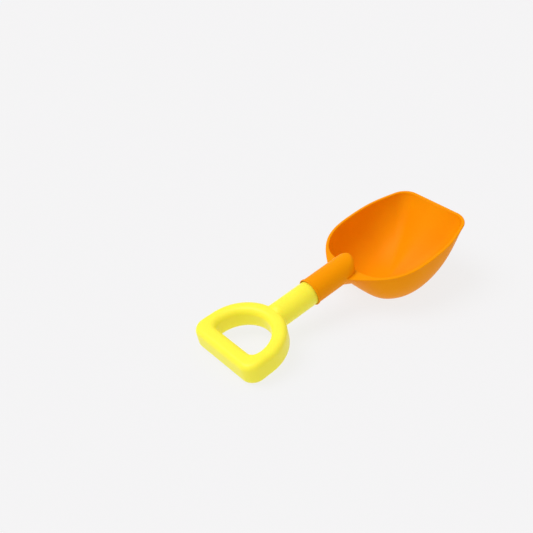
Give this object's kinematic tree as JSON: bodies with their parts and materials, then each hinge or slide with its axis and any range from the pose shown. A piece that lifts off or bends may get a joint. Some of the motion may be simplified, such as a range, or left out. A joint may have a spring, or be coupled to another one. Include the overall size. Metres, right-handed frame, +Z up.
{
  "type": "sand scoop",
  "caption": "Child's beach sand scoop: deep round-bottomed bowl with a flat front lip, tubular socket, and a hollow D-grip handle plugged into it.",
  "frame": {"origin": "centre of the bounding box in plan, on the floor that the scoop stands on", "axes": "+X from the hand bar towards the scoop's front lip, +Z up from the floor, +Y to the left of the scoop seen from the handle"},
  "size_m": [0.3237, 0.1312, 0.078],
  "materials": {
    "orange_plastic": "satin injection-moulded polypropylene",
    "yellow_plastic": "satin moulded polypropylene, a little shinier than the orange"
  },
  "bodies": {
    "scoop_body": {"scoop": "orange_plastic"},
    "handle": {"handle_upper_shell": "yellow_plastic", "handle_lower_shell": "yellow_plastic"}
  },
  "joints": [
    {"name": "handle_pull_out", "type": "slide", "parent": "scoop_body", "child": "handle", "axis": [-0.9783, 0, -0.2071], "range_m": [0, 0.05]}
  ]
}
